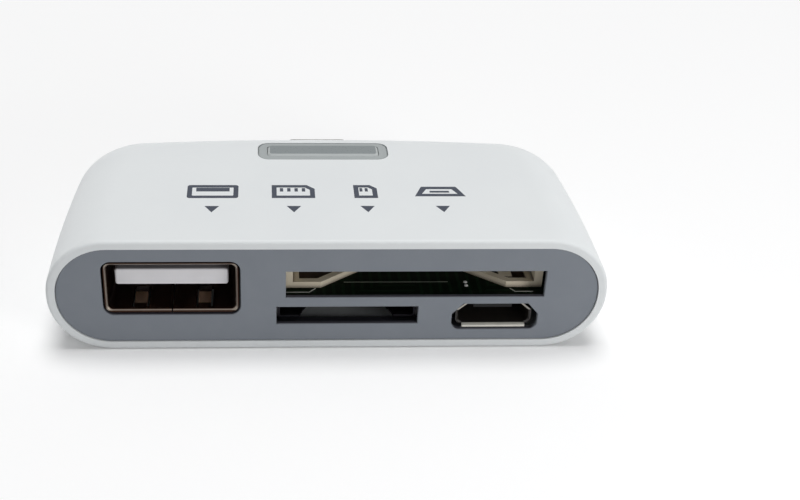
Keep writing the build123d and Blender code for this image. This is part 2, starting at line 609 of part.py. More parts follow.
def make_card_socket_frame():
    """Moulded frame: a floor notched at the front, cored arms, lipped side rails and a back wall."""
    length = (CARD_FRONT, CARD_REAR)
    frame = block((-CARD_HALF, CARD_HALF), length, (BOARD_TOP, CARD_FLOOR_TOP))
    wide = CARD_HALF - CARD_ARM
    narrow = wide - CARD_NOTCH_RUN
    notch_end = CARD_FRONT + CARD_NOTCH_DEPTH
    front = CARD_FRONT - OVERRUN
    corners = [(-wide, front), (wide, front), (wide, CARD_FRONT), (narrow, notch_end)]
    corners += [(-narrow, notch_end), (-wide, CARD_FRONT)]
    notch = make_face(Polyline(*corners, close=True))
    frame -= extrude(Plane.XY.offset(BOARD_TOP) * notch, CARD_FLOOR + OVERRUN)
    stud_y = (CARD_FRONT + CARD_ARM_WALL + CARD_STUD_SETBACK, notch_end)
    stud = block(around(CARD_STUD_PLACE, CARD_STUD_WIDTH), stud_y, (BOARD_TOP, CARD_FLOOR_TOP))
    frame -= [card_arm_pocket() - stud, mirror(card_arm_pocket(), Plane.YZ)]
    rail = block((CARD_INNER, CARD_HALF), length, (BOARD_TOP, CARD_RAIL_TOP + CARD_LIP))
    lip_z = (CARD_RAIL_TOP, CARD_RAIL_TOP + CARD_LIP)
    rail += block((CARD_INNER - CARD_LIP_REACH, CARD_HALF), length, lip_z)
    frame += [rail, mirror(rail, Plane.YZ)]
    back = (CARD_REAR - CARD_BACK_WALL, CARD_REAR)
    frame += block((-CARD_INNER, CARD_INNER), back, (BOARD_TOP, CARD_RAIL_TOP + CARD_LIP))
    slot_y = (CARD_SPRING_TIP - CARD_CONTACT_GAP, CARD_REAR + OVERRUN)
    slot_width = CARD_CONTACT_WIDTH + 2 * CARD_CONTACT_GAP
    for x in row(CARD_CONTACT_COUNT, CARD_PITCH):
        frame -= block(around(x, slot_width), slot_y, (BOARD_TOP, CARD_FLOOR_TOP))
    for x in row(2, CARD_PEG_SPACING):
        peg = Cylinder(CARD_PEG_RADIUS, BOARD_THICKNESS, align=(Align.CENTER, Align.CENTER, Align.MAX))
        frame += Pos(x, CARD_PEG_Y, BOARD_TOP) * peg
    return Pos(CARD_X, 0, 0) * frame


def make_card_contacts():
    """Nine springs that rise through the frame's floor from tails on the board."""
    start = (CARD_REAR - CARD_BACK_WALL, BOARD_TOP)
    high = BOARD_TOP + CARD_CONTACT_RISE
    crest = (CARD_SPRING_TIP + CARD_CONTACT_NOSE, high)
    tip = (CARD_SPRING_TIP, high - CARD_CONTACT_DIP)
    path = [(CARD_REAR + CARD_TAIL, BOARD_TOP), start, crest, tip]
    contact = strip(path, CARD_CONTACT_SHEET, CARD_CONTACT_WIDTH)
    return [Pos(CARD_X + x, 0, 0) * contact for x in row(CARD_CONTACT_COUNT, CARD_PITCH)]


def make_card_switch_contacts():
    """Two blades with feet, against the right rail: card present and write protect."""
    side = CARD_X + CARD_HALF
    path = [(side, BOARD_TOP + BLADE_HEIGHT), (side, BOARD_TOP), (side + BLADE_FOOT, BOARD_TOP)]
    blade = strip(path, BLADE_SHEET, BLADE_LENGTH, Side.LEFT, Plane((0, 0, 0), (1, 0, 0), (0, -1, 0)))
    return [Pos(0, CARD_FRONT + y, 0) * blade for y in BLADE_PLACES]


def make_small_card_cover():
    """Folded cover with an arched finger notch in its front edge and four feet on the board."""
    half = SMALL_WIDTH / 2
    length = (SMALL_FRONT, SMALL_REAR)
    cover = block((-half, half), length, (SMALL_UNDER, BOARD_UNDER))
    inner = half - SMALL_SHEET
    cover -= block((-inner, inner), (0, TIP_Y), (SMALL_UNDER + SMALL_SHEET, BOARD_UNDER + OVERRUN))
    half_arch = SMALL_ARCH_WIDTH / 2
    ends = [(-half_arch, SMALL_FRONT), (half_arch, SMALL_FRONT)]
    crown = ThreePointArc(ends[0], (0, SMALL_FRONT + SMALL_ARCH_DEPTH), ends[1])
    arch = make_face([crown, Line(*ends)])
    cover -= extrude(Plane.XY.offset(SMALL_UNDER - OVERRUN) * arch, SMALL_SHEET + 2 * OVERRUN)
    for y in SMALL_FOOT_PLACES:
        foot_y = around(SMALL_FRONT + y, SMALL_FOOT_WIDTH)
        foot = block((inner, half + SMALL_FOOT), foot_y, (BOARD_UNDER - SMALL_SHEET, BOARD_UNDER))
        cover += [foot, mirror(foot, Plane.YZ)]
    return Pos(SMALL_X, 0, 0) * cover


def make_small_card_base():
    """Moulding under the board: a plate slotted for the springs, two card guides and a back wall."""
    half = SMALL_WIDTH / 2 - SMALL_SHEET - SMALL_BASE_GAP
    front = SMALL_FRONT + SMALL_BASE_SETBACK
    low = SMALL_UNDER + SMALL_SHEET + SMALL_BASE_GAP
    base = block((-half, half), (front, SMALL_REAR), (SMALL_BASE_UNDER, BOARD_UNDER))
    guide_inner = SMALL_CARD_WIDTH / 2 + SMALL_CARD_PLAY
    guide = block((guide_inner, half), (front, SMALL_REAR), (low, BOARD_UNDER))
    base += [guide, mirror(guide, Plane.YZ)]
    base += block((-half, half), (SMALL_REAR - SMALL_BACK_WALL, SMALL_REAR), (low, BOARD_UNDER))
    slot_width = SMALL_CONTACT_WIDTH + 2 * SMALL_CONTACT_GAP
    slot_y = (SMALL_SPRING_TIP - SMALL_CONTACT_GAP, SMALL_REAR + OVERRUN)
    for x in row(SMALL_CONTACT_COUNT, SMALL_PITCH):
        base -= block(around(x, slot_width), slot_y, (SMALL_BASE_UNDER, BOARD_UNDER))
    return Pos(SMALL_X, 0, 0) * base


def make_small_card_contacts():
    """Eight springs that reach down through the base from tails on the board."""
    start = (SMALL_REAR - SMALL_BACK_WALL, BOARD_UNDER)
    low = BOARD_UNDER - SMALL_CONTACT_RISE
    crest = (SMALL_SPRING_TIP + SMALL_CONTACT_NOSE, low)
    tip = (SMALL_SPRING_TIP, low + SMALL_CONTACT_DIP)
    path = [(SMALL_REAR + SMALL_TAIL, BOARD_UNDER), start, crest, tip]
    contact = strip(path, SMALL_CONTACT_SHEET, SMALL_CONTACT_WIDTH, Side.LEFT)
    return [Pos(SMALL_X + x, 0, 0) * contact for x in row(SMALL_CONTACT_COUNT, SMALL_PITCH)]


def make_micro_usb_shell():
    """Folded shell with slanted upper corners, an eased mouth and a flared lower lip."""
    outline = micro_outline(0, 0, 0)
    shell = along_y(outline, MICRO_MOUTH, MICRO_REAR)
    shell -= along_y(offset(outline, -MICRO_SHEET), MICRO_MOUTH - OVERRUN, MICRO_REAR + OVERRUN)
    shell = chamfer(mouth_edges(shell), MICRO_MOUTH_CHAMFER)
    tip = (MICRO_MOUTH - MICRO_LIP, MICRO_UNDER - MICRO_LIP_DROP)
    path = [tip, (MICRO_MOUTH, MICRO_UNDER), (MICRO_MOUTH + MICRO_SHEET, MICRO_UNDER)]
    lip = strip(path, MICRO_SHEET, MICRO_WIDTH - 2 * MICRO_CORNER, Side.LEFT)
    return shell + Pos(MICRO_X, 0, 0) * lip


def make_micro_usb_insulator():
    """Thin tongue, and the block that carries it in the rear of the shell."""
    block_y = (MICRO_REAR - MICRO_BLOCK_LENGTH, MICRO_REAR)
    tongue_y = (MICRO_MOUTH + MICRO_TONGUE_SETBACK, block_y[0])
    tongue_z = (MICRO_TONGUE_UNDER, MICRO_TONGUE_TOP)
    body = along_y(offset(micro_outline(0, 0, 0), -MICRO_SHEET - MICRO_BLOCK_GAP), *block_y)
    body += block(around(MICRO_X, MICRO_TONGUE_WIDTH), tongue_y, tongue_z)
    tunnel_z = (MICRO_TONGUE_UNDER - MICRO_CONTACT_SHEET - MICRO_BLOCK_GAP, MICRO_TONGUE_UNDER)
    for x in row(MICRO_CONTACT_COUNT, MICRO_PITCH):
        tunnel_x = around(MICRO_X + x, MICRO_CONTACT_WIDTH + 2 * MICRO_BLOCK_GAP)
        body -= block(tunnel_x, (block_y[0] - OVERRUN, MICRO_REAR + OVERRUN), tunnel_z)
    return body


def make_micro_usb_contacts():
    """Five contacts under the tongue, turned up behind the shell to tails on the board."""
    start = MICRO_MOUTH + MICRO_TONGUE_SETBACK + MICRO_CONTACT_START
    path = [(start, MICRO_TONGUE_UNDER), (MICRO_DROP_Y, MICRO_TONGUE_UNDER)]
    path += [(MICRO_DROP_Y, BOARD_UNDER), (MICRO_DROP_Y + MICRO_TAIL, BOARD_UNDER)]
    contact = strip(path, MICRO_CONTACT_SHEET, MICRO_CONTACT_WIDTH)
    return [Pos(MICRO_X + x, 0, 0) * contact for x in row(MICRO_CONTACT_COUNT, MICRO_PITCH)]


def plug_section(inset):
    """Outline of the plug with round ends, drawn in by inset."""
    return Pos(0, BOARD_Z) * SlotOverall(PLUG_WIDTH - 2 * inset, PLUG_HEIGHT - 2 * inset)


def make_plug_shell():
    """Drawn tube with round ends and an eased front edge."""
    shell = along_y(plug_section(0), PLUG_REAR, TIP_Y)
    shell = chamfer(shell.faces().sort_by(Axis.Y)[-1].edges(), PLUG_TIP_CHAMFER)
    return shell - along_y(plug_section(PLUG_SHEET), PLUG_REAR - OVERRUN, TIP_Y + OVERRUN)


def make_plug_insulator():
    """Core of the plug: a flat mouth with grooves for the contacts and the side latches."""
    nose = TIP_Y - PLUG_CORE_SETBACK
    core = along_y(plug_section(PLUG_SHEET + PLUG_CORE_GAP), PLUG_REAR, nose)
    mouth_y = (TIP_Y - PLUG_MOUTH_DEPTH, TIP_Y)
    core -= block(around(0, PLUG_MOUTH_WIDTH), mouth_y, around(BOARD_Z, PLUG_MOUTH_HEIGHT))
    groove_y = (PLUG_REAR - OVERRUN, TIP_Y - PLUG_CONTACT_NOSE + PLUG_CONTACT_GAP)
    groove_top = PLUG_CONTACT_Z + PLUG_CONTACT_SHEET + PLUG_CONTACT_GAP
    groove_under = min(PLUG_CONTACT_Z, PLUG_MOUTH_HEIGHT / 2) - PLUG_CONTACT_GAP
    groove_width = PLUG_CONTACT_WIDTH + 2 * PLUG_CONTACT_GAP
    for place in PLUG_PLACES:
        groove_x = around(place * PLUG_PITCH, groove_width)
        core -= block(groove_x, groove_y, (BOARD_Z + groove_under, BOARD_Z + groove_top))
    for place in PLUG_LOWER_PLACES:
        groove_x = around(place * PLUG_PITCH, groove_width)
        core -= block(groove_x, groove_y, (BOARD_Z - groove_top, BOARD_Z - groove_under))
    latch_x = (PLUG_MOUTH_WIDTH / 2 - LATCH_GAP, PLUG_MOUTH_WIDTH / 2 + LATCH_SHEET + LATCH_GAP)
    latch_y = (PLUG_REAR + LATCH_NOSE - LATCH_GAP, TIP_Y - LATCH_NOSE)
    pocket = block(latch_x, latch_y, around(BOARD_Z, LATCH_HEIGHT + 2 * LATCH_GAP))
    return core - [pocket, mirror(pocket, Plane.YZ)]


def make_plug_contacts():
    """Contacts above and below the mouth, with tails on both faces of the board."""
    nose = TIP_Y - PLUG_CONTACT_NOSE
    bend = (TIP_Y - PLUG_MOUTH_DEPTH + PLUG_CONTACT_RUN, BOARD_TOP)
    crest = (nose - PLUG_CONTACT_LEAD, BOARD_TOP - PLUG_CONTACT_BUMP)
    path = [(BOARD_REAR - PLUG_TAIL, BOARD_TOP), bend, crest, (nose, crest[1] + PLUG_CONTACT_DIP)]
    contact = strip(path, PLUG_CONTACT_SHEET, PLUG_CONTACT_WIDTH, Side.LEFT)
    lower = mirror(contact, Plane.XY.offset(BOARD_Z))
    upper_row = [Pos(place * PLUG_PITCH, 0, 0) * contact for place in PLUG_PLACES]
    return upper_row + [Pos(place * PLUG_PITCH, 0, 0) * lower for place in PLUG_LOWER_PLACES]


def make_plug_latches():
    """Two side springs with hooks that reach into the mouth."""
    side = PLUG_MOUTH_WIDTH / 2
    hook_y = TIP_Y - LATCH_NOSE - LATCH_HOOK
    path = [(side, PLUG_REAR + LATCH_NOSE), (side, hook_y - LATCH_SLOPE), (side - LATCH_HOOK, hook_y)]
    latch = strip(path, LATCH_SHEET, LATCH_HEIGHT, Side.RIGHT, Plane.XY.offset(BOARD_Z))
    return [latch, mirror(latch, Plane.YZ)]


def chip_body():
    """Moulded chip, standing just off the board at z = 0, with bevelled edges."""
    height = (CHIP_STANDOFF, CHIP_STANDOFF + CHIP_HEIGHT)
    body = block(around(0, CHIP_LENGTH), around(0, CHIP_WIDTH), height)
    return chamfer(body.edges(), CHIP_CHAMFER)


def chip_leads(count, pitch, width):
    """Two rows of bent leads, from the sides of a chip to feet on the board at z = 0."""
    side = CHIP_WIDTH / 2
    high = CHIP_STANDOFF + CHIP_HEIGHT / 2
    toe = side + LEAD_REACH
    path = [(side, high), (side + LEAD_SHOULDER, high), (toe - LEAD_FOOT, LEAD_SHEET), (toe, LEAD_SHEET)]
    lead = strip(path, LEAD_SHEET, width)
    pair = [lead, mirror(lead, Plane.XZ)]
    return [Pos(x, 0, 0) * piece for x in row(count, pitch) for piece in pair]


def on_top(x, y, turn=0):
    """Place on the upper face of the board."""
    return Pos(x, y, BOARD_TOP) * Rot(0, 0, turn)


def underneath(x, y, turn=0):
    """Place on the lower face of the board, upside down."""
    return Pos(x, y, BOARD_UNDER) * Rot(180, 0, turn)


def make_crystal():
    """Flat clock crystal with a lid a little smaller than its base."""
    step = CRYSTAL_HEIGHT - CRYSTAL_LID
    base = Rectangle(CRYSTAL_LENGTH, CRYSTAL_WIDTH)
    base = chamfer(base.vertices(), CRYSTAL_CORNER)
    crystal = extrude(base, step) + extrude(Plane.XY.offset(step) * offset(base, -CRYSTAL_LID), CRYSTAL_LID)
    x = SMALL_X - SMALL_WIDTH / 2 - SMALL_FOOT - CRYSTAL_LENGTH / 2
    return underneath(x, USB_A_REAR + 2 * PASSIVE_SPACE + CRYSTAL_WIDTH / 2) * crystal


def make_status_led():
    """Small light on the board, under the left end of the window."""
    base = block(around(0, LED_LENGTH), around(0, LED_WIDTH), (0, LED_BASE))
    lens = block(around(0, LED_LENS_LENGTH), around(0, LED_WIDTH), (LED_BASE, LED_HEIGHT))
    lens = chamfer(lens.faces().sort_by(Axis.Z)[-1].edges(), PASSIVE_CHAMFER)
    return on_top(LED_INSET - WINDOW_WIDTH / 2, WINDOW_Y) * (base + lens)


def passive(height):
    """Small two-ended part with eased edges, on the board at z = 0."""
    body = block(around(0, PASSIVE_LENGTH), around(0, PASSIVE_WIDTH), (0, height))
    return chamfer(body.edges(), PASSIVE_CHAMFER)


def make_capacitors():
    """Two capacitors beside the hub chip and three beside the card chip."""
    piece = passive(CAPACITOR_HEIGHT)
    hub_x = USB_A_X + CHIP_LENGTH / 2 + PASSIVE_SPACE + PASSIVE_WIDTH / 2
    reader_x = MICRO_X - CHIP_SPAN / 2 - PASSIVE_SPACE - PASSIVE_WIDTH / 2
    upper = [on_top(hub_x, HUB_Y + y, 90) * piece for y in row(2, PASSIVE_STEP)]
    return upper + [underneath(reader_x, READER_Y + y, 90) * piece for y in row(3, PASSIVE_STEP)]


def make_resistors():
    """A row of resistors on the upper face, along the rear of the board behind the card socket."""
    piece = passive(RESISTOR_HEIGHT)
    y = BOARD_REAR - RESISTOR_EDGE - PASSIVE_WIDTH / 2
    return [on_top(CARD_X + x, y) * piece for x in row(3, PASSIVE_STEP)]


def make_parts():
    """Every piece of the reader by name. A list is a group of separate like pieces."""
    hub_place = on_top(USB_A_X, HUB_Y)
    reader_place = underneath(MICRO_X, READER_Y, 90)
    hub_leads = chip_leads(HUB_LEAD_COUNT, HUB_PITCH, HUB_LEAD_WIDTH)
    reader_leads = chip_leads(READER_LEAD_COUNT, READER_PITCH, READER_LEAD_WIDTH)
    return {
        "housing": make_housing(),
        "front_plate": make_front_plate(),
        "window_bezel": make_window_bezel(),
        "window_lens": make_window_lens(),
        "main_board": make_main_board(),
        "usb_a_shell": make_usb_a_shell(),
        "usb_a_insulator": make_usb_a_insulator(),
        "usb_a_contacts": make_usb_a_contacts(),
        "card_socket_frame": make_card_socket_frame(),
        "card_contacts": make_card_contacts(),
        "card_switch_contacts": make_card_switch_contacts(),
        "small_card_cover": make_small_card_cover(),
        "small_card_base": make_small_card_base(),
        "small_card_contacts": make_small_card_contacts(),
        "micro_usb_shell": make_micro_usb_shell(),
        "micro_usb_insulator": make_micro_usb_insulator(),
        "micro_usb_contacts": make_micro_usb_contacts(),
        "plug_shell": make_plug_shell(),
        "plug_insulator": make_plug_insulator(),
        "plug_contacts": make_plug_contacts(),
        "plug_latches": make_plug_latches(),
        "hub_chip": hub_place * chip_body(),
        "hub_chip_leads": [hub_place * lead for lead in hub_leads],
        "card_chip": reader_place * chip_body(),
        "card_chip_leads": [reader_place * lead for lead in reader_leads],
        "crystal": make_crystal(),
        "status_led": make_status_led(),
        "capacitors": make_capacitors(),
        "resistors": make_resistors(),
    }


# The origin is under the middle of the whole reader, plug included
os.makedirs("parts", exist_ok=True)
to_frame = Pos(0, -TIP_Y / 2, 0)
for name, pieces in make_parts().items():
    group = pieces if isinstance(pieces, list) else [pieces]
    solids = [solid for piece in group for solid in (to_frame * piece).solids()]
    shape = solids[0] if len(solids) == 1 else Compound(children=solids)
    export_step(shape, f"parts/{name}.step")
    box = shape.bounding_box()
    size = f"{box.size.X:.2f} x {box.size.Y:.2f} x {box.size.Z:.2f}"
    print(f"{name}: {len(solids)} solids, {shape.volume:.2f} mm3, {size}")
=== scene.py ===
"""Looks of a pocket memory card reader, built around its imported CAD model. Lengths are in metres."""

import json
import math

import bmesh
import bpy
from mathutils import Matrix, Vector


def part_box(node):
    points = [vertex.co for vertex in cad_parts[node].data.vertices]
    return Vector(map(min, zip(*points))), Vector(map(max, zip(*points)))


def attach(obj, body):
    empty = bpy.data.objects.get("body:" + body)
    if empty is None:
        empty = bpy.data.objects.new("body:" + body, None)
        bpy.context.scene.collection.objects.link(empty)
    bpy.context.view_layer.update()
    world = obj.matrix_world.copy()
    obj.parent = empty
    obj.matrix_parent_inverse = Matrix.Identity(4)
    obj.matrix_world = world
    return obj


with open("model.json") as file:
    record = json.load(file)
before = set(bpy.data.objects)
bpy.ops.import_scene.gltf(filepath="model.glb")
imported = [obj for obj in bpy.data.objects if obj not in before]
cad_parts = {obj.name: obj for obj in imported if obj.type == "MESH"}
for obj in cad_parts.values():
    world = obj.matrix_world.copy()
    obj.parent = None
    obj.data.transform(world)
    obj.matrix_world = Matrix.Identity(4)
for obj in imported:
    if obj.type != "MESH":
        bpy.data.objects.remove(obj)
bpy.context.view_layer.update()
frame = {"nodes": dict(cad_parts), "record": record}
nodes = frame["nodes"]

MM = 0.001
MICRON = 0.000001
TOP_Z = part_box("housing")[1].z
MID_Z = TOP_Z / 2
BOARD_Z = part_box("main_board")[1].z
FRONT_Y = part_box("housing")[0].y


# Materials

looks = {}  # the materials made here, by name


def new_material(name):
    """New node material, with its tree, its main shader and the object coordinates."""
    material = bpy.data.materials.new("look_" + name)
    material.use_nodes = True
    looks[name] = material
    tree = material.node_tree
    shader = tree.nodes["Principled BSDF"]
    coords = tree.nodes.new("ShaderNodeTexCoord").outputs["Object"]
    return material, tree, shader, coords


def noise(tree, vector, scale, detail=3.0, rough=0.55, stretch=None):
    """Noise value, its scale in waves per metre, drawn out along an axis where stretch is given."""
    if stretch is not None:
        mapping = tree.nodes.new("ShaderNodeMapping")
        mapping.inputs["Scale"].default_value = stretch
        tree.links.new(vector, mapping.inputs["Vector"])
        vector = mapping.outputs["Vector"]
    node = tree.nodes.new("ShaderNodeTexNoise")
    node.inputs["Scale"].default_value = scale
    node.inputs["Detail"].default_value = detail
    node.inputs["Roughness"].default_value = rough
    tree.links.new(vector, node.inputs["Vector"])
    return node.outputs["Fac"]


def spread(tree, value, low, high, start=0.3, end=0.7):
    """Map a value from one range to another. The range to start from is that of noise, unless given."""
    node = tree.nodes.new("ShaderNodeMapRange")
    node.inputs["From Min"].default_value = start
    node.inputs["From Max"].default_value = end
    node.inputs["To Min"].default_value = low
    node.inputs["To Max"].default_value = high
    tree.links.new(value, node.inputs["Value"])
    return node.outputs["Result"]


def blend_colours(tree, value, first, second):
    """Colour between two others by a value from 0 to 1. Either may be a colour or a socket."""
    node = tree.nodes.new("ShaderNodeMix")
    node.data_type = "RGBA"
    tree.links.new(value, node.inputs["Factor"])
    a, b = [s for s in node.inputs if s.type == "RGBA"]
    for socket, colour in ((a, first), (b, second)):
        if isinstance(colour, bpy.types.NodeSocket):
            tree.links.new(colour, socket)
        else:
            socket.default_value = (*colour, 1.0)
    return [s for s in node.outputs if s.type == "RGBA"][0]


def relief(tree, value, depth):
    """Bump normal of a height value, depth in metres."""
    node = tree.nodes.new("ShaderNodeBump")
    node.inputs["Distance"].default_value = depth
    tree.links.new(value, node.inputs["Height"])
    return node.outputs["Normal"]


def product(tree, *values):
    """Product of several values."""
    result = values[0]
    for value in values[1:]:
        node = tree.nodes.new("ShaderNodeMath")
        node.operation = "MULTIPLY"
        tree.links.new(result, node.inputs[0])
        tree.links.new(value, node.inputs[1])
        result = node.outputs["Value"]
    return result


def axes_of(tree, vector):
    """The x, y and z of a vector."""
    node = tree.nodes.new("ShaderNodeSeparateXYZ")
    tree.links.new(vector, node.inputs["Vector"])
    return node.outputs["X"], node.outputs["Y"], node.outputs["Z"]


def between(tree, value, low, high, soft):
    """1 between two limits and 0 outside them, with soft ends."""
    rise = spread(tree, value, 0.0, 1.0, low - soft, low + soft)
    fall = spread(tree, value, 1.0, 0.0, high - soft, high + soft)
    return product(tree, rise, fall)


def upward(tree):
    """How far a face looks up: 1 for a level face."""
    return axes_of(tree, tree.nodes.new("ShaderNodeNewGeometry").outputs["Normal"])[2]


def plastic(name, pale, dark, rough, grain, depth, patches=90.0, specular=0.5, painted_edge_highlight=None):
    """Moulded plastic: broad colour patches, a fine moulded grain and a gloss that varies with it.

    Its sloping faces can take another colour, a painted highlight, where one is given.
    """
    material, tree, shader, coords = new_material(name)
    broad = spread(tree, noise(tree, coords, patches, 4.0), 0.0, 1.0)
    fine = noise(tree, coords, grain, 2.0)
    colour = blend_colours(tree, broad, dark, pale)
    # painted highlight on the sloping faces
    if painted_edge_highlight is not None:
        colour = blend_colours(tree, spread(tree, upward(tree), 0.0, 1.0, 0.8, 0.95), painted_edge_highlight, colour)
    tree.links.new(colour, shader.inputs["Base Color"])
    tree.links.new(spread(tree, fine, *rough), shader.inputs["Roughness"])
    tree.links.new(relief(tree, fine, depth), shader.inputs["Normal"])
    shader.inputs["Specular IOR Level"].default_value = specular
    return material


SHEET_GRAIN = 3000.0  # rolling marks of the steel sheets, in waves per metre
SHEET_RELIEF = 3 * MICRON
ROLLED = (1.0, 0.12, 1.0)  # the marks are drawn out along y


def metal(name, pale, dark, rough, grain=SHEET_GRAIN, stretch=ROLLED, depth=SHEET_RELIEF):
    """Sheet metal: drawn-out rolling marks, patches of tarnish and a gloss that varies with them."""
    material, tree, shader, coords = new_material(name)
    marks = noise(tree, coords, grain, 4.0, 0.6, stretch)
    tarnish = spread(tree, noise(tree, coords, 400.0, 4.0), 0.0, 1.0)
    tree.links.new(blend_colours(tree, tarnish, dark, pale), shader.inputs["Base Color"])
    tree.links.new(spread(tree, marks, *rough), shader.inputs["Roughness"])
    tree.links.new(relief(tree, marks, depth), shader.inputs["Normal"])
    shader.inputs["Metallic"].default_value = 1.0
    return material


HIGHLIGHT_SOFT = 0.04 * MM  # soft border of a painted highlight
HIGHLIGHT_PATCHES = 0.85  # darkest share of a painted highlight's colour, in random patches
SHADE_PATCHES = 0.8  # darkest share of the painted shade's colour, in random patches


def painted_socket_sheet(name, painted_shade_colour, painted_highlights, metallic):
    """Plated sheet of a socket, its colour painted dark as shade, and brighter at the listed places as
    painted highlights.

    The list of painted highlights gives a colour and the limits of each along x, y and z, in metres.
    """
    material, tree, shader, coords = new_material(name)
    axes = axes_of(tree, coords)
    marks = noise(tree, coords, SHEET_GRAIN, 4.0, 0.6, ROLLED)
    patches = spread(tree, noise(tree, coords, 900.0, 4.0), 0.0, 1.0)
    # painted shade: the sheet's dark base colour, varied in random patches
    sheet = blend_colours(tree, patches, [SHADE_PATCHES * part for part in painted_shade_colour], painted_shade_colour)
    # painted highlights at the listed places
    for colour, *limits in painted_highlights:
        inside = product(tree, *[between(tree, axis, *pair, HIGHLIGHT_SOFT) for axis, pair in zip(axes, limits)])
        highlight_colour = blend_colours(tree, patches, [HIGHLIGHT_PATCHES * part for part in colour], colour)
        sheet = blend_colours(tree, inside, sheet, highlight_colour)
    tree.links.new(sheet, shader.inputs["Base Color"])
    tree.links.new(spread(tree, marks, 0.3, 0.46), shader.inputs["Roughness"])
    tree.links.new(relief(tree, marks, SHEET_RELIEF), shader.inputs["Normal"])
    shader.inputs["Metallic"].default_value = metallic
    return material


FLOOR_SOFT = 0.02 * MM  # play in the level below which a face is a pocket's floor


def plastic_with_painted_shade(name, pale, dark, painted_hollow_colour, reach, floor_level):
    """Moulded plastic with shade painted into its colour: darker in its recesses, found by ambient occlusion,
    where light is lost.

    Faces that look up and lie below floor_level are the floors of its pockets, and take the painted shade
    colour too.
    """
    tree, shader, coords = new_material(name)[1:]
    level = spread(tree, upward(tree), 0.0, 1.0, 0.6, 0.9)
    height = axes_of(tree, coords)[2]
    low = spread(tree, height, 1.0, 0.0, floor_level - FLOOR_SOFT, floor_level + FLOOR_SOFT)
    broad = spread(tree, noise(tree, coords, 300.0, 4.0), 0.0, 1.0)
    fine = noise(tree, coords, 4200.0, 2.0)
    # painted shade: ambient occlusion finds the recesses
    occlusion = tree.nodes.new("ShaderNodeAmbientOcclusion")
    occlusion.inputs["Distance"].default_value = reach
    occlusion.samples = 8
    open_face = spread(tree, occlusion.outputs["AO"], 0.0, 1.0, 0.35, 0.85)
    colour = blend_colours(tree, open_face, painted_hollow_colour, blend_colours(tree, broad, dark, pale))
    # pocket floors painted in the shade colour
    colour = blend_colours(tree, product(tree, level, low), colour, painted_hollow_colour)
    tree.links.new(colour, shader.inputs["Base Color"])
    tree.links.new(spread(tree, fine, 0.45, 0.6), shader.inputs["Roughness"])
    tree.links.new(relief(tree, fine, 6 * MICRON), shader.inputs["Normal"])
    shader.inputs["Specular IOR Level"].default_value = 0.2


plastic(
    "white_plastic", (0.79, 0.815, 0.82), (0.765, 0.79, 0.80), (0.38, 0.5), 3200.0, 4 * MICRON,
    specular=0.25)
# front plate: floors of its openings and its recesses painted near black as shade
plastic_with_painted_shade(
    "grey_plastic", (0.23, 0.25, 0.28), (0.215, 0.235, 0.265), (0.07, 0.07, 0.085), 0.5 * MM, TOP_Z)
plastic(
    "bezel_plastic", (0.40, 0.43, 0.43), (0.365, 0.39, 0.395), (0.3, 0.42), 4200.0, 3 * MICRON,
    specular=0.15)
# the pane's sloping edges carry a painted highlight
plastic(
    "window_pane", (0.245, 0.27, 0.275), (0.225, 0.25, 0.257), (0.26, 0.36), 4200.0, 2 * MICRON,
    specular=0.15, painted_edge_highlight=(0.52, 0.55, 0.55))
# tongue: its top face under the shell's roof painted darker as shade
plastic_with_painted_shade(
    "tongue_white", (0.80, 0.79, 0.81), (0.74, 0.73, 0.75), (0.42, 0.41, 0.43), 0.5 * MM, TOP_Z)
# card frame: its pockets painted dark brown as shade
plastic_with_painted_shade(
    "cream_plastic", (0.85, 0.76, 0.6), (0.77, 0.68, 0.53), (0.05, 0.03, 0.018), 0.6 * MM,
    BOARD_Z + 0.4 * MM)
plastic(
    "black_plastic", (0.022, 0.022, 0.023), (0.014, 0.014, 0.015), (0.42, 0.6), 5200.0, 6 * MICRON,
    specular=0.15)
plastic("chip_black", (0.03, 0.03, 0.031), (0.02, 0.02, 0.021), (0.5, 0.7), 6500.0, 10 * MICRON)
plastic("led_body", (0.72, 0.72, 0.60), (0.64, 0.64, 0.52), (0.12, 0.22), 4200.0, 2 * MICRON)
plastic("capacitor_tan", (0.30, 0.17, 0.085), (0.24, 0.13, 0.06), (0.4, 0.55), 6500.0, 6 * MICRON)
plastic("resistor_black", (0.035, 0.035, 0.04), (0.02, 0.02, 0.022), (0.3, 0.45), 6500.0, 4 * MICRON)
metal("socket_steel", (0.60, 0.57, 0.52), (0.50, 0.47, 0.42), (0.22, 0.38))
metal(
    "contact_metal", (0.80, 0.58, 0.27), (0.66, 0.46, 0.2), (0.2, 0.34), 4000.0, (1.0, 0.15, 1.0),
    2 * MICRON)
metal("tinned_lead", (0.72, 0.72, 0.70), (0.6, 0.6, 0.58), (0.25, 0.4), 4000.0, (1.0, 1.0, 1.0))


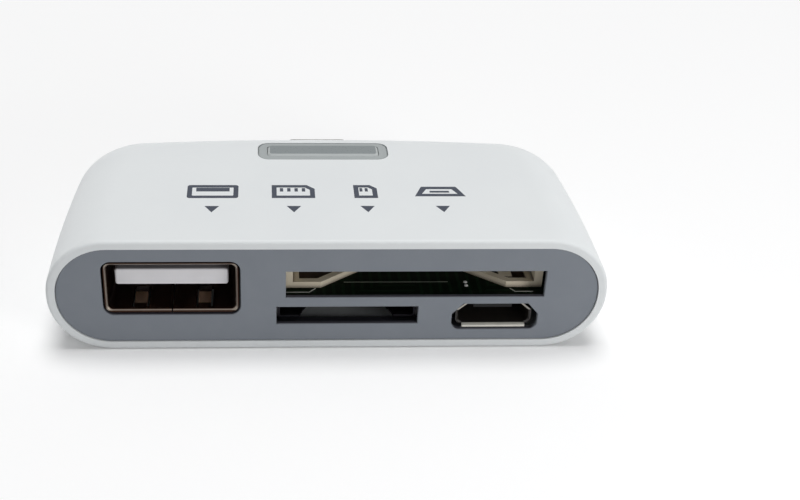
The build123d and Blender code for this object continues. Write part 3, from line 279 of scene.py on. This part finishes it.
def make_board_green():
    """Solder mask over copper: faint lighter tracks in two directions under a dull coat."""
    tree, shader, coords = new_material("board_green")[1:]
    tracks = []
    for axis in ("X", "Y"):
        wave = tree.nodes.new("ShaderNodeTexWave")
        wave.wave_type = "BANDS"
        wave.bands_direction = axis
        wave.inputs["Scale"].default_value = 320.0
        wave.inputs["Distortion"].default_value = 1.2
        wave.inputs["Detail"].default_value = 0.0
        wave.inputs["Detail Scale"].default_value = 0.4
        tree.links.new(coords, wave.inputs["Vector"])
        tracks.append(spread(tree, wave.outputs["Fac"], 0.0, 1.0, 0.72, 0.8))
    area = spread(tree, noise(tree, coords, 260.0, 0.0), 0.0, 1.0, 0.49, 0.51)
    pick = tree.nodes.new("ShaderNodeMix")
    pick.data_type = "FLOAT"
    tree.links.new(area, pick.inputs[0])
    tree.links.new(tracks[0], pick.inputs[2])
    tree.links.new(tracks[1], pick.inputs[3])
    lines = pick.outputs[0]
    # painted shade: the green is darkened near to black, as the board lies in shade inside the slot
    colour = blend_colours(tree, lines, (0.002, 0.006, 0.0024), (0.004, 0.014, 0.006))
    tree.links.new(colour, shader.inputs["Base Color"])
    tree.links.new(spread(tree, noise(tree, coords, 1500.0), 0.42, 0.56), shader.inputs["Roughness"])
    tree.links.new(relief(tree, lines, 8 * MICRON), shader.inputs["Normal"])
    shader.inputs["Specular IOR Level"].default_value = 0.03


def make_print(name, colour, worn):
    """Pad-printed ink: slightly uneven colour, with a dull surface."""
    return plastic(name, colour, worn, (0.42, 0.58), 6500.0, 3 * MICRON, 700.0, 0.35)


make_board_green()
slate_ink = make_print("slate_ink", (0.035, 0.044, 0.068), (0.026, 0.034, 0.054))
white_ink = make_print("white_ink", (0.62, 0.64, 0.60), (0.52, 0.54, 0.50))
faded_ink = make_print("faded_ink", (0.26, 0.29, 0.24), (0.18, 0.2, 0.16))
fresh_solder = make_print("fresh_solder", (0.86, 0.86, 0.84), (0.78, 0.78, 0.76))

usb_a_low, usb_a_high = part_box("usb_a_shell")
micro_low, micro_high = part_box("micro_usb_shell")
usb_a_mid = (usb_a_low.x + usb_a_high.x) / 2
USB_A_HALF = 6.55 * MM  # half of the shell's width at its mouth
USB_A_EDGE = 0.12 * MM  # outer part of the sheet's end, left dark as painted shadow from the plate's hole
# the same at the bottom, a wider painted shadow
USB_A_LOW_EDGE = 0.19 * MM
USB_A_END = 0.1 * MM  # depth of the end's painted highlight
USB_A_SIDE = 3.0 * MM  # the spring fingers lie at least so far from the sides
FINGER_START, FINGER_END = 1.0 * MM, 2.5 * MM  # their stretch with a painted highlight, behind the mouth
FINGER_LOW, FINGER_HIGH = 0.4 * MM, 1.2 * MM  # and its height over the shell's underside
# Painted shade: the shell is dark inside, with painted highlights on the inner part of its mouth's end and on
# the spring fingers.
usb_a_painted_sheet = painted_socket_sheet(
    "usb_a_painted_sheet", (0.04, 0.02, 0.014),
    [
        ((0.27, 0.235, 0.2),
         (usb_a_mid - USB_A_HALF + USB_A_EDGE, usb_a_mid + USB_A_HALF - USB_A_EDGE),
         (usb_a_low.y - USB_A_END, usb_a_low.y + USB_A_END),
         (usb_a_low.z + USB_A_LOW_EDGE, usb_a_high.z - USB_A_EDGE)),
        ((0.50, 0.35, 0.25),
         (usb_a_low.x + USB_A_SIDE, usb_a_high.x - USB_A_SIDE),
         (usb_a_low.y + FINGER_START, usb_a_low.y + FINGER_END),
         (usb_a_low.z + FINGER_LOW, usb_a_low.z + FINGER_HIGH)),
    ],
    1.0,
)
MICRO_MOUTH = 0.45 * MM  # its mouth behind the front of its lower lip
MICRO_CORNER = 1.1 * MM  # width of the slanted upper corners
# colour of the painted highlight on the ends of the slanted corners
MICRO_CORNER_HIGHLIGHT = (0.55, 0.52, 0.46)
MICRO_LIP_DEPTH, MICRO_LIP_HEIGHT = 0.36 * MM, 0.42 * MM  # painted highlight on the lower lip, its depth and height
micro_mouth_y = (micro_low.y + MICRO_MOUTH - 0.06 * MM, micro_low.y + MICRO_MOUTH + 0.12 * MM)
micro_corner_z = (micro_high.z - 0.9 * MM, micro_high.z - 0.1 * MM)
# Painted shade: the shell is near black inside, with painted highlights on its lower lip and on the ends of
# its slanted corners.
micro_painted_sheet = painted_socket_sheet(
    "micro_painted_sheet", (0.02, 0.017, 0.015),
    [
        ((0.95, 0.93, 0.84),
         (micro_low.x - MM, micro_high.x + MM),
         (micro_low.y - MM, micro_low.y + MICRO_LIP_DEPTH),
         (micro_low.z - MM, micro_low.z + MICRO_LIP_HEIGHT)),
        (MICRO_CORNER_HIGHLIGHT, (micro_low.x - MM, micro_low.x + MICRO_CORNER), micro_mouth_y, micro_corner_z),
        (MICRO_CORNER_HIGHLIGHT, (micro_high.x - MICRO_CORNER, micro_high.x + MM), micro_mouth_y, micro_corner_z),
    ],
    0.0,
)
# plug shell: its metal darkened as painted shade
plug_painted_shade = metal("plug_painted_shade", (0.26, 0.25, 0.235), (0.2, 0.19, 0.18), (0.42, 0.56))
# small card cover: metal darkened near to black as painted shade
cover_painted_shade = metal("cover_painted_shade", (0.035, 0.034, 0.04), (0.02, 0.02, 0.024), (0.4, 0.55))

OWN_MATERIALS = {
    "usb_a_shell": usb_a_painted_sheet,
    "micro_usb_shell": micro_painted_sheet,
    "small_card_cover": cover_painted_shade,
    "plug_shell": plug_painted_shade,
}
for entry in frame["record"]["subparts"]:
    mesh = nodes[entry["node"]].data
    mesh.materials.clear()
    mesh.materials.append(OWN_MATERIALS.get(entry["node"], looks[entry["material_slot"]]))


# Smooth shading of the CAD meshes

SHARP_EDGE = math.radians(28)
WELD = MICRON


def smoothing_group():
    """Geometry nodes that weld the faces' seams, then shade smooth except across sharp edges."""
    group = bpy.data.node_groups.new("smooth_faces", "GeometryNodeTree")
    group.interface.new_socket("Geometry", in_out="INPUT", socket_type="NodeSocketGeometry")
    group.interface.new_socket("Geometry", in_out="OUTPUT", socket_type="NodeSocketGeometry")
    links = group.links
    start = group.nodes.new("NodeGroupInput")
    end = group.nodes.new("NodeGroupOutput")
    weld = group.nodes.new("GeometryNodeMergeByDistance")
    weld.inputs["Distance"].default_value = WELD
    drop = group.nodes.new("GeometryNodeRemoveAttribute")
    drop.inputs["Name"].default_value = "custom_normal"
    faces = group.nodes.new("GeometryNodeSetShadeSmooth")
    faces.domain = "FACE"
    edges = group.nodes.new("GeometryNodeSetShadeSmooth")
    edges.domain = "EDGE"
    angle = group.nodes.new("GeometryNodeInputMeshEdgeAngle")
    flat_enough = group.nodes.new("FunctionNodeCompare")
    flat_enough.data_type = "FLOAT"
    flat_enough.operation = "LESS_THAN"
    flat_enough.inputs[1].default_value = SHARP_EDGE
    links.new(start.outputs[0], drop.inputs["Geometry"])
    links.new(drop.outputs["Geometry"], weld.inputs["Geometry"])
    links.new(weld.outputs["Geometry"], faces.inputs["Geometry"])
    links.new(faces.outputs["Geometry"], edges.inputs["Geometry"])
    links.new(angle.outputs["Unsigned Angle"], flat_enough.inputs[0])
    links.new(flat_enough.outputs["Result"], edges.inputs["Shade Smooth"])
    links.new(edges.outputs["Geometry"], end.inputs[0])
    return group


smooth_faces = smoothing_group()
for node in nodes.values():
    node.modifiers.new("smooth_faces", "NODES").node_group = smooth_faces


# Printed and soldered detail

INK = 0.012 * MM  # thickness of the print on the top
SILK = 0.02 * MM  # thickness of the lines on the board


def closed_prism(mesh, outline, low, high, hole=None):
    """Add to a bmesh a flat closed solid over a 2-D outline, or over the ring between it and a hole."""
    def ring_of(points, z):
        return [mesh.verts.new((x, y, z)) for x, y in points]

    def wall(lower, upper):
        count = len(lower)
        for i in range(count):
            j = (i + 1) % count
            mesh.faces.new((lower[i], lower[j], upper[j], upper[i]))

    under, over = ring_of(outline, low), ring_of(outline, high)
    wall(under, over)
    if hole is None:
        mesh.faces.new(over)
        mesh.faces.new(list(reversed(under)))
        return
    hole_under, hole_over = ring_of(hole, low), ring_of(hole, high)
    wall(list(reversed(hole_under)), list(reversed(hole_over)))
    count = len(outline)
    for i in range(count):
        j = (i + 1) % count
        mesh.faces.new((over[i], over[j], hole_over[j], hole_over[i]))
        mesh.faces.new((under[j], under[i], hole_under[i], hole_under[j]))


def add_piece(name, mesh, material):
    """Make an object of a bmesh, carried by the body."""
    bmesh.ops.recalc_face_normals(mesh, faces=mesh.faces)
    data = bpy.data.meshes.new(name)
    mesh.to_mesh(data)
    mesh.free()
    data.materials.append(material)
    piece = bpy.data.objects.new(name, data)
    bpy.context.scene.collection.objects.link(piece)
    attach(piece, "root")
    return piece


def place(points, x, y):
    """Points in millimetres about a place in millimetres from the middle of the front rim."""
    return [((x + px) * MM, FRONT_Y + (y + py) * MM) for px, py in points]


def rectangle(width, height, x=0.0, y=0.0):
    """Outline of a rectangle, anticlockwise."""
    return [(x + sx * width / 2, y + sy * height / 2) for sx, sy in ((-1, -1), (1, -1), (1, 1), (-1, 1))]


def round_rectangle(width, height, corner, steps=5):
    """Outline of a rectangle with round corners, anticlockwise."""
    points = []
    for sx, sy, start in ((1, -1, -90), (1, 1, 0), (-1, 1, 90), (-1, -1, 180)):
        cx, cy = sx * (width / 2 - corner), sy * (height / 2 - corner)
        for step in range(steps + 1):
            angle = math.radians(start + 90 * step / steps)
            points.append((cx + corner * math.cos(angle), cy + corner * math.sin(angle)))
    return points


def legend(name, x, y, rings, fills):
    """One printed pictogram: outlines with a hole and plain filled shapes."""
    mesh = bmesh.new()
    for outline, hole in rings:
        closed_prism(mesh, place(outline, x, y), TOP_Z, TOP_Z + INK, place(hole, x, y))
    for outline in fills:
        closed_prism(mesh, place(outline, x, y), TOP_Z, TOP_Z + INK)
    add_piece(name, mesh, slate_ink)


STROKE = 0.5  # pictogram line width, in millimetres


def clipped_card(width, height, clip):
    """Card outline with one corner cut off."""
    w, h = width / 2, height / 2
    return [(-w, -h), (w, -h), (w, h - clip), (w - clip, h), (-w, h)]


def clipped_inside(width, height, clip, stroke):
    """The same outline drawn in by the stroke."""
    cut = clip - stroke * (2 - math.sqrt(2))
    return clipped_card(width - 2 * stroke, height - 2 * stroke, cut)


def trapezoid(width, narrow, height):
    """Socket outline that is narrower above."""
    w, n, h = width / 2, narrow / 2, height / 2
    return [(-w, -h), (w, -h), (n, h), (-n, h)]


# Pictogram sizes and places, in millimetres from the middle of the front rim
ICON_Y = 9.8
ICON_HEIGHT = 2.7
ICON_PLACES = (-11.6, -3.4, 4.0, 11.6)
WIDE_PLUG = 5.2
WIDE_CARD, WIDE_CLIP = 4.4, 0.8
SMALL_CARD, SMALL_CLIP = 2.4, 0.7
SMALL_PLUG, SMALL_PLUG_TOP, SMALL_PLUG_HEIGHT = 5.2, 3.6, 2.0
PAD_HEIGHT, PAD_Y = 0.7, 0.35
ARROW_Y = 6.2
ARROW = [(0.0, -0.62), (0.72, 0.62), (-0.72, 0.62)]

legend(
    "legend_wide_plug", ICON_PLACES[0], ICON_Y,
    [(round_rectangle(WIDE_PLUG, ICON_HEIGHT, 0.3),
      round_rectangle(WIDE_PLUG - 2 * STROKE, ICON_HEIGHT - 2 * STROKE, 0.1))],
    [rectangle(3.4, 0.75, y=0.4)],
)
legend(
    "legend_wide_card", ICON_PLACES[1], ICON_Y,
    [(clipped_card(WIDE_CARD, ICON_HEIGHT, WIDE_CLIP),
      clipped_inside(WIDE_CARD, ICON_HEIGHT, WIDE_CLIP, STROKE))],
    [rectangle(0.34, PAD_HEIGHT, x=-1.2 + 0.75 * index, y=PAD_Y) for index in range(4)],
)
legend(
    "legend_small_card", ICON_PLACES[2], ICON_Y,
    [(clipped_card(SMALL_CARD, ICON_HEIGHT, SMALL_CLIP),
      clipped_inside(SMALL_CARD, ICON_HEIGHT, SMALL_CLIP, STROKE))],
    [rectangle(0.3, PAD_HEIGHT, x=-0.45 + 0.55 * index, y=PAD_Y) for index in range(2)],
)
legend(
    "legend_small_plug", ICON_PLACES[3], ICON_Y,
    [(trapezoid(SMALL_PLUG, SMALL_PLUG_TOP, SMALL_PLUG_HEIGHT),
      trapezoid(SMALL_PLUG - 3 * STROKE, SMALL_PLUG_TOP - 2 * STROKE, SMALL_PLUG_HEIGHT - 2 * STROKE))],
    [rectangle(2.0, 0.36, y=-0.05)],
)
for arrow_name, arrow_x in zip("abcd", ICON_PLACES):
    legend("legend_arrow_" + arrow_name, arrow_x, ARROW_Y, [], [ARROW])


def board_strip(mesh, path, width):
    """Silkscreen line along a path of two points or more, in millimetres from the middle of the front rim."""
    for (x0, y0), (x1, y1) in zip(path, path[1:]):
        length = math.hypot(x1 - x0, y1 - y0)
        dx, dy = (x1 - x0) / length * width / 2, (y1 - y0) / length * width / 2
        corners = [(x0 - dx + dy, y0 - dy - dx), (x1 + dx + dy, y1 + dy - dx)]
        corners += [(x1 + dx - dy, y1 + dy + dx), (x0 - dx - dy, y0 - dy + dx)]
        closed_prism(mesh, place(corners, 0.0, 0.0), BOARD_Z, BOARD_Z + SILK)


for silk_name, silk_ink, silk_width, silk_path in (
    ("left", white_ink, 0.11, [(-4.3, 1.3), (-1.93, 1.3), (-1.31, 1.94)]),
    ("right", white_ink, 0.11, [(20.46, 1.3), (18.69, 1.3), (18.28, 1.85)]),
    ("middle", faded_ink, 0.08, [(1.65, 3.1), (12.1, 3.1)]),
):
    silk_mesh = bmesh.new()
    board_strip(silk_mesh, silk_path, silk_width)
    add_piece("silkscreen_" + silk_name, silk_mesh, silk_ink)

SOLDER_RADIUS = 0.2
SOLDER_FLATNESS = 0.5
SOLDER_PLACES = ((13.9, 2.42), (13.9, 3.05))
dots = bmesh.new()
for dot_x, dot_y in SOLDER_PLACES:
    (centre_x, centre_y), = place([(0.0, 0.0)], dot_x, dot_y)
    made = bmesh.ops.create_uvsphere(dots, u_segments=20, v_segments=12, radius=SOLDER_RADIUS * MM)
    for vert in made["verts"]:
        lift = BOARD_Z + vert.co.z * SOLDER_FLATNESS
        vert.co = Vector((centre_x + vert.co.x, centre_y + vert.co.y, lift))
solder = add_piece("solder_dots", dots, fresh_solder)
for face in solder.data.polygons:
    face.use_smooth = True


# Floor, light and camera

FLOOR_HALF = 1.5  # half of the floor's side
FLOOR_DROP = 0.02 * MM  # clearance under the part
FLOOR_SEEN = (0.98, 0.98, 0.98)  # its colour where it is seen
FLOOR_LIFT = 0.06  # its glow there
SKY = 0.28  # share of full light from all around


def rays_that_see(tree):
    """1 for the rays that show the background: straight from the camera, or by way of gloss or glass."""
    path = tree.nodes.new("ShaderNodeLightPath")
    value = path.outputs["Is Camera Ray"]
    for kind in ("Is Glossy Ray", "Is Transmission Ray"):
        node = tree.nodes.new("ShaderNodeMath")
        node.operation = "MAXIMUM"
        tree.links.new(value, node.inputs[0])
        tree.links.new(path.outputs[kind], node.inputs[1])
        value = node.outputs["Value"]
    return value


def make_floor():
    """Large pale floor that shows white to the camera and keeps the soft shadow."""
    mesh = bmesh.new()
    corners = rectangle(2 * FLOOR_HALF, 2 * FLOOR_HALF)
    mesh.faces.new([mesh.verts.new((x, y, -FLOOR_DROP)) for x, y in corners])
    data = bpy.data.meshes.new("floor")
    mesh.to_mesh(data)
    mesh.free()
    floor = bpy.data.objects.new("floor", data)
    bpy.context.scene.collection.objects.link(floor)
    material, tree, shader, coords = new_material("floor_white")
    seen = rays_that_see(tree)
    shade = spread(tree, noise(tree, coords, 8.0), 0.0, 1.0)
    lit = blend_colours(tree, shade, (0.79, 0.79, 0.795), (0.81, 0.81, 0.81))
    tree.links.new(blend_colours(tree, seen, lit, FLOOR_SEEN), shader.inputs["Base Color"])
    shader.inputs["Roughness"].default_value = 0.9
    shader.inputs["Specular IOR Level"].default_value = 0.0
    shader.inputs["Emission Color"].default_value = (1.0, 1.0, 1.0, 1.0)
    glow = spread(tree, seen, 0.0, FLOOR_LIFT, 0.0, 1.0)
    tree.links.new(glow, shader.inputs["Emission Strength"])
    data.materials.append(material)


make_floor()

world = bpy.data.worlds.new("studio")
bpy.context.scene.world = world
world.use_nodes = True
sky = world.node_tree
sky.nodes.clear()
ambient = sky.nodes.new("ShaderNodeBackground")
ambient.inputs["Color"].default_value = (0.985, 0.99, 1.0, 1.0)
ambient.inputs["Strength"].default_value = SKY
backdrop = sky.nodes.new("ShaderNodeBackground")
backdrop.inputs["Color"].default_value = (1.0, 1.0, 1.0, 1.0)
backdrop.inputs["Strength"].default_value = 1.0
choose = sky.nodes.new("ShaderNodeMixShader")
sky.links.new(rays_that_see(sky), choose.inputs[0])
sky.links.new(ambient.outputs["Background"], choose.inputs[1])
sky.links.new(backdrop.outputs["Background"], choose.inputs[2])
output = sky.nodes.new("ShaderNodeOutputWorld")
sky.links.new(choose.outputs["Shader"], output.inputs["Surface"])


def add_sun(name, share, spread_angle, source):
    """Soft far light that gives a surface which faces it this share of full light."""
    data = bpy.data.lights.new(name, "SUN")
    data.energy = share * math.pi
    data.angle = math.radians(spread_angle)
    lamp = bpy.data.objects.new(name, data)
    bpy.context.scene.collection.objects.link(lamp)
    lamp.rotation_euler = Vector(source).to_track_quat("Z", "Y").to_euler()


def add_panel(name, share, size, place_mm):
    """Square soft box that gives the middle of the front plate this share of full light.

    Its size and its place from that middle are in millimetres.
    """
    data = bpy.data.lights.new(name, "AREA")
    data.shape = "SQUARE"
    data.size = size * MM
    lamp = bpy.data.objects.new(name, data)
    bpy.context.scene.collection.objects.link(lamp)
    aim = Vector((0.0, FRONT_Y, MID_Z))
    lamp.location = aim + Vector(place_mm) * MM
    ray = lamp.location - aim
    lamp.rotation_euler = ray.to_track_quat("Z", "Y").to_euler()
    data.energy = share * math.pi ** 2 * ray.length_squared * ray.length / -ray.y


add_sun("soft_overhead", 0.6, 31.0, (0.0, 0.1, 1.0))
add_panel("front_panel", 0.2, 60.0, (130.0, -130.0, 34.0))

YAW = math.radians(-3.24)
ELEVATION = math.radians(31.52)
ROLL = math.radians(1.57)
DISTANCE = 120.36  # millimetres
TARGET = Vector((-0.56, 0.0, 5.9))  # millimetres from the middle of the front rim
IMAGE_WIDTH = 800  # pixels of the photograph's frame
FOCAL_PIXELS = 1255.8
CENTRE_SHIFT = (75.0, -5.0)  # the photograph is cropped off centre by these pixels
SENSOR_WIDTH = 36.0

ground = math.cos(ELEVATION)
back = Vector((math.sin(YAW) * ground, -math.cos(YAW) * ground, math.sin(ELEVATION)))
level = Vector((math.cos(YAW), math.sin(YAW), 0.0))
upright = back.cross(level)
right = math.cos(ROLL) * level + math.sin(ROLL) * upright
up = -math.sin(ROLL) * level + math.cos(ROLL) * upright
origin = Vector((0.0, FRONT_Y, MID_Z)) + (TARGET + back * DISTANCE) * MM
camera_data = bpy.data.cameras.new("camera")
camera_data.sensor_fit = "HORIZONTAL"
camera_data.sensor_width = SENSOR_WIDTH
camera_data.lens = FOCAL_PIXELS * SENSOR_WIDTH / IMAGE_WIDTH
camera_data.shift_x = CENTRE_SHIFT[0] / IMAGE_WIDTH
camera_data.shift_y = CENTRE_SHIFT[1] / IMAGE_WIDTH
camera_data.clip_start = 0.01
camera_data.clip_end = 20.0
camera = bpy.data.objects.new("camera", camera_data)
bpy.context.scene.collection.objects.link(camera)
pose = Matrix((right, up, back)).transposed().to_4x4()
pose.translation = origin
camera.matrix_world = pose
bpy.context.scene.camera = camera

bpy.context.scene.view_settings.view_transform = "Standard"
